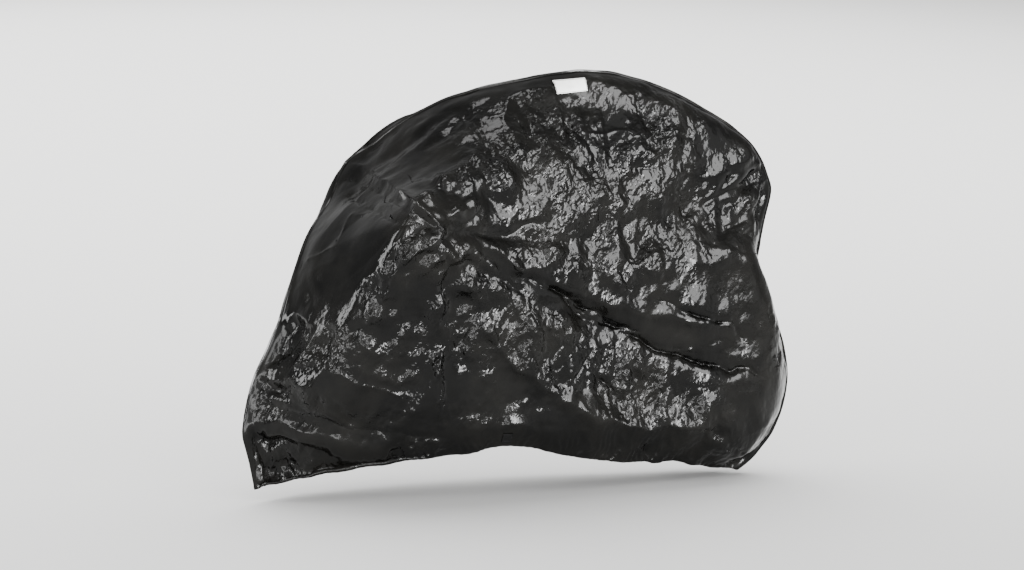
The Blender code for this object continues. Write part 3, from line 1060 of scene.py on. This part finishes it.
def layPlate(name, piece, filmTree):
    columns, rows = (round(piece[key] / plateCell) for key in ("width", "height"))
    places = [
        ((i / columns - 0.5) * piece["width"], (0.5 - j / rows) * piece["height"])
        for i in range(columns + 1)
        for j in range(rows + 1)
    ]
    spots = [spotOn(piece, u, v) for u, v in places]
    under = np.array([faceAt(filmTree, spot)[0].y for spot in spots])
    # a smooth, slightly bent face through the film under the plate, just clear of it
    u, v = np.array(places).T
    terms = np.stack([np.ones(len(u)), u, v, u**2, v**2, u * v], axis=1)
    ys = terms @ np.linalg.lstsq(terms, under, rcond=None)[0]
    ys -= max(0.0, float(np.max(ys - under))) + piece["lift"]
    bm = bmesh.new()
    edge = bm.verts.layers.float.new("edgeAway")
    verts = []
    for (u, v), y in zip(places, ys):
        away = edgeDistance(u, v, piece)
        if away < 0:
            u, v = pulledIn(u, v, piece)
        spot = spotOn(piece, u, v)
        vert = bm.verts.new((spot.x, y, spot.z))
        vert[edge] = max(away, 0.0)
        verts.append(vert)
    for i in range(columns):
        for j in range(rows):
            a = i * (rows + 1) + j
            bm.faces.new((verts[a], verts[a + 1], verts[a + rows + 2], verts[a + rows + 1]))
    plate = meshObject(name, bm)
    thick = plate.modifiers.new("thick", "SOLIDIFY")
    thick.thickness = piece["thickness"]
    thick.offset = 1.0
    bevel = plate.modifiers.new("soft", "BEVEL")
    bevel.width = piece["thickness"] * 0.3
    bevel.segments = 2
    bevel.limit_method = "ANGLE"
    bakeModifiers(plate)
    plate.data.shade_smooth()
    return plate


def makeLabelMaterial():
    material, tree, shader = newMaterial("whiteLabel")
    away = addNode(tree, "ShaderNodeAttribute", attribute_name="edgeAway").outputs["Fac"]
    inset, width, soft = (label[key] for key in ("borderInset", "borderWidth", "borderEdge"))
    line = ranged(tree, away, (0.0, 1.0), (inset, inset + soft))
    end = ranged(tree, away, (1.0, 0.0), (inset + width, inset + width + soft))
    border = mathNode(tree, "MULTIPLY", line, end)
    cloudy = cloudNode(tree, objectPlace(tree), **label["clouds"])
    dull = ranged(tree, cloudy, (0.0, 1.0), label["dullRange"])
    white = mixed(tree, dull, rgba(label["colour"]), rgba(label["colour"], label["dull"]))
    fill(tree, shader, {
        "Base Color": mixed(tree, border, white, rgba(label["borderColour"])),
        "Roughness": ranged(tree, cloudy, label["roughness"]),
        "Normal": bumped(tree, cloudy, *label["bump"]),
    })
    return material


def makeTapeMaterial():
    # plain woven tape: two sets of threads that pass over each other
    material, tree, shader = newMaterial("blackTape")
    split = addNode(tree, "ShaderNodeSeparateXYZ", {0: objectPlace(tree)})
    threads = []
    for axis in ("X", "Z"):
        turns = mathNode(tree, "MULTIPLY", split.outputs[axis], 2 * math.pi / hemTab["weave"])
        threads.append(mathNode(tree, "SINE", turns))
    weave = mathNode(tree, "MULTIPLY", *threads)
    # painted shade and highlight: the tape's one colour made darker between the threads and lighter on them
    dark, light = (rgba(hemTab["colour"], shade) for shade in hemTab["paintedShadeAndHighlight"])
    fill(tree, shader, {
        "Base Color": mixed(tree, ranged(tree, weave, (0, 1), (-1, 1)), dark, light),
        "Roughness": hemTab["roughness"],
        "Specular IOR Level": hemTab["specular"],
        "Normal": bumped(tree, weave, *hemTab["bump"]),
    })
    return material


def makeThreadMaterial():
    material, tree, shader = newMaterial("blackThread")
    twist = cloudNode(tree, objectPlace(tree), **stitching["twist"])
    dark, light = rgba(stitching["colour"]), rgba(stitching["colour"], stitching["lightShade"])
    fill(tree, shader, {
        "Base Color": mixed(tree, twist, dark, light),
        "Roughness": stitching["roughness"],
        "Specular IOR Level": stitching["specular"],
    })
    return material


def stitchTree():
    # a row of stitches along a line: resampled, one small thread loop on each place
    tree = bpy.data.node_groups.new("stitchRow", "GeometryNodeTree")
    face = tree.interface
    face.new_socket("Geometry", in_out="INPUT", socket_type="NodeSocketGeometry")
    for name in ("Pitch", "Length", "Thread"):
        socket = face.new_socket(name, in_out="INPUT", socket_type="NodeSocketFloat")
        socket.default_value = stitching[name.lower()]
    face.new_socket("Thread Material", in_out="INPUT", socket_type="NodeSocketMaterial")
    face.new_socket("Geometry", in_out="OUTPUT", socket_type="NodeSocketGeometry")
    given = addNode(tree, "NodeGroupInput").outputs
    curve = addNode(tree, "GeometryNodeMeshToCurve", {"Mesh": given["Geometry"]}).outputs["Curve"]
    spaced = addNode(
        tree, "GeometryNodeResampleCurve", mode="LENGTH",
        inputs={"Curve": curve, "Length": given["Pitch"]},
    )
    aligned = addNode(
        tree, "FunctionNodeAlignRotationToVector", axis="X",
        inputs={"Vector": addNode(tree, "GeometryNodeInputTangent").outputs[0]},
    )
    bead = addNode(tree, "GeometryNodeMeshUVSphere", {"Segments": 6, "Rings": 4, "Radius": 1.0})
    half = mathNode(tree, "MULTIPLY", given["Length"], 0.5)
    size = addNode(tree, "ShaderNodeCombineXYZ", {"X": half, "Y": given["Thread"], "Z": given["Thread"]})
    placed = addNode(tree, "GeometryNodeInstanceOnPoints", {
        "Points": spaced.outputs["Curve"],
        "Instance": bead.outputs["Mesh"],
        "Rotation": aligned.outputs["Rotation"],
        "Scale": size.outputs[0],
    }).outputs["Instances"]
    real = addNode(tree, "GeometryNodeRealizeInstances", {"Geometry": placed}).outputs["Geometry"]
    painted = addNode(
        tree, "GeometryNodeSetMaterial", {"Geometry": real, "Material": given["Thread Material"]}
    )
    addNode(tree, "NodeGroupOutput", {"Geometry": painted.outputs["Geometry"]})
    return tree


def makeStitches(name, line, thread, tree):
    # the line of points becomes a row of stitches, as one plain mesh
    bm = bmesh.new()
    verts = [bm.verts.new(p) for p in line]
    for a, b in zip(verts, verts[1:]):
        bm.edges.new((a, b))
    stitches = meshObject(name, bm)
    row = stitches.modifiers.new("stitchRow", "NODES")
    row.node_group = tree
    values = {"Thread Material": thread}
    values.update({key: stitching[key.lower()] for key in ("Pitch", "Length", "Thread")})
    for item in tree.interface.items_tree:
        if item.item_type == "SOCKET" and item.in_out == "INPUT" and item.name in values:
            row[item.identifier] = values[item.name]
    bakeModifiers(stitches)
    stitches.data.shade_smooth()
    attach(stitches, "root")
    return stitches


def hemStitchLine(sheet, filmTree):
    # places a set way above the hem's edge, in order along it
    _, hem = edgeLines(sheet)
    low, high = min(p.x for p in hem), max(p.x for p in hem)
    line = []
    steps = int((high - low) / stitching["hemStep"])
    for k in range(steps + 1):
        x = low + stitching["hemEnds"] + (high - low - 2 * stitching["hemEnds"]) * k / steps
        edge = min(hem, key=lambda p: abs(p.x - x))
        guess = edge + Vector((0, 0, stitching["hemLine"]))
        place, normal, _, _ = filmTree.find_nearest(guess)
        line.append(place + normal * stitching["thread"])
    return line


def tabStitchLine(tab):
    # a box just inside the tab's edge
    tree = faceTree(tab)
    halfWide, halfHigh = (hemTab[key] / 2 - hemTab["seamInset"] for key in ("width", "height"))
    corners = ((-1, -1), (-1, 1), (1, 1), (1, -1), (-1, -1))
    steps = hemTab["sideStitches"]
    box = []
    for (u0, v0), (u1, v1) in zip(corners, corners[1:]):
        for k in range(steps):
            u, v = u0 + (u1 - u0) * k / steps, v0 + (v1 - v0) * k / steps
            hit, normal = faceAt(tree, spotOn(hemTab, u * halfWide, v * halfHigh))
            box.append(hit + normal * stitching["thread"] / 2)
    return box + box[:1]


def makePlate(name, piece, filmTree, material, node):
    plate = layPlate(name, piece, filmTree)
    paint(plate, material)
    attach(plate, "root")
    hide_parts(node)
    return plate


def makeTrim(panels):
    nearTree, farTree = faceTree(panels["nearFilm"]), faceTree(panels["farFilm"])
    thread, tree = makeThreadMaterial(), stitchTree()
    plate = makePlate("labelPlate", label, nearTree, makeLabelMaterial(), "label")
    tab = makePlate("hemTabTape", hemTab, nearTree, makeTapeMaterial(), "hem_tab")
    return [
        plate,
        tab,
        makeStitches("tabStitches", tabStitchLine(tab), thread, tree),
        makeStitches("nearHemStitches", hemStitchLine(panels["nearFilm"], nearTree), thread, tree),
        makeStitches("farHemStitches", hemStitchLine(panels["farFilm"], farTree), thread, tree),
    ]


def makeCover():
    nearBm, farBm = innerSheet("near_panel", nearSide), innerSheet("far_panel", farSide)
    nearTree, farTree = (treeOf([v.co.copy() for v in bm.verts]) for bm in (nearBm, farBm))
    blackFilm = makeFilmMaterial()
    panels = {}
    for name, node, bm, side, creases, patches, otherTree in (
        ("nearFilm", "near_panel", nearBm, nearSide, nearCreases, nearPatches, farTree),
        ("farFilm", "far_panel", farBm, farSide, farCreases, (), nearTree),
    ):
        sheet = drapeFilm(name, bm, side, creases, patches, otherTree)
        paint(sheet, blackFilm)
        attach(sheet, "root")
        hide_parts(node)
        panels[name] = sheet
    return panels


makeCamera()
makeRoom()
makeLights(makeFloor())
print("studio ready")
panels = makeCover()
print("film draped")
plate, tab, tabStitches, nearHemStitches, farHemStitches = makeTrim(panels)
print("label, tab and stitches placed")
